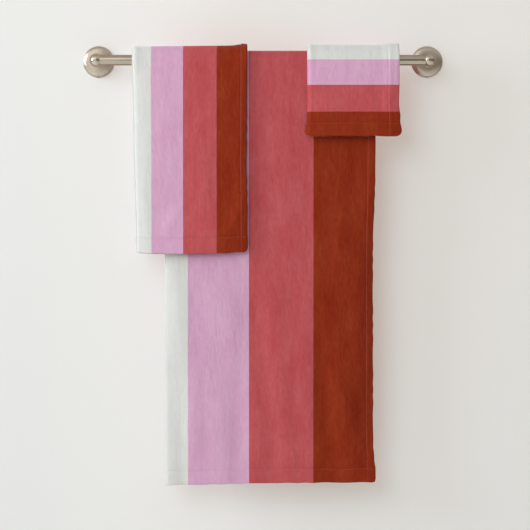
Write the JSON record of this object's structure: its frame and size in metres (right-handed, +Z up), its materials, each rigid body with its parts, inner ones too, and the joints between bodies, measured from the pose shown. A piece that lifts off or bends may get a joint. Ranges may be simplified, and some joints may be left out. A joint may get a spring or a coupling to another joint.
{
  "type": "bath towel set",
  "caption": "Bath towel, hand towel and washcloth folded lengthwise and hung over a round wall-mounted towel bar.",
  "frame": {"origin": "on the wall's face, midway between the two posts, at the height of the bar's axis", "axes": "+X along the bar to the right as seen from the room, +Y into the wall, +Z up"},
  "size_m": [0.657, 0.1295, 0.7915],
  "materials": {
    "brushed_nickel": "satin",
    "zinc_plate": "satin",
    "screw_steel": "satin",
    "nylon": "matte",
    "towel_cloth": "matte",
    "towel_hem": "matte"
  },
  "bodies": {
    "towel_bar": {"bar_tube": "brushed_nickel", "left_wall_bracket": "zinc_plate", "left_escutcheon": "brushed_nickel", "left_post": "brushed_nickel", "left_upper_wall_screw": "screw_steel", "left_lower_wall_screw": "screw_steel", "left_upper_wall_anchor": "nylon", "left_lower_wall_anchor": "nylon", "left_post_screw": "screw_steel", "left_set_screw": "screw_steel", "left_tube_plug": "nylon", "right_wall_bracket": "zinc_plate", "right_escutcheon": "brushed_nickel", "right_post": "brushed_nickel", "right_upper_wall_screw": "screw_steel", "right_lower_wall_screw": "screw_steel", "right_upper_wall_anchor": "nylon", "right_lower_wall_anchor": "nylon", "right_post_screw": "screw_steel", "right_set_screw": "screw_steel", "right_tube_plug": "nylon"},
    "bath_towel": {"bath_towel_cloth": "towel_cloth", "bath_towel_side_hem": "towel_hem", "bath_towel_front_hem": "towel_hem", "bath_towel_back_hem": "towel_hem"},
    "hand_towel": {"hand_towel_cloth": "towel_cloth", "hand_towel_side_hem": "towel_hem", "hand_towel_front_hem": "towel_hem", "hand_towel_back_hem": "towel_hem"},
    "washcloth": {"washcloth_cloth": "towel_cloth", "washcloth_side_hem": "towel_hem", "washcloth_front_hem": "towel_hem", "washcloth_back_hem": "towel_hem"}
  },
  "joints": [
    {"name": "bath_towel_slide", "type": "slide", "parent": "towel_bar", "child": "bath_towel", "axis": [1, 0, 0], "range_m": [-0.1, 0.08]},
    {"name": "hand_towel_slide", "type": "slide", "parent": "towel_bar", "child": "hand_towel", "axis": [1, 0, 0], "range_m": [-0.045, 0.05]},
    {"name": "washcloth_slide", "type": "slide", "parent": "towel_bar", "child": "washcloth", "axis": [1, 0, 0], "range_m": [-0.05, 0.04]}
  ]
}
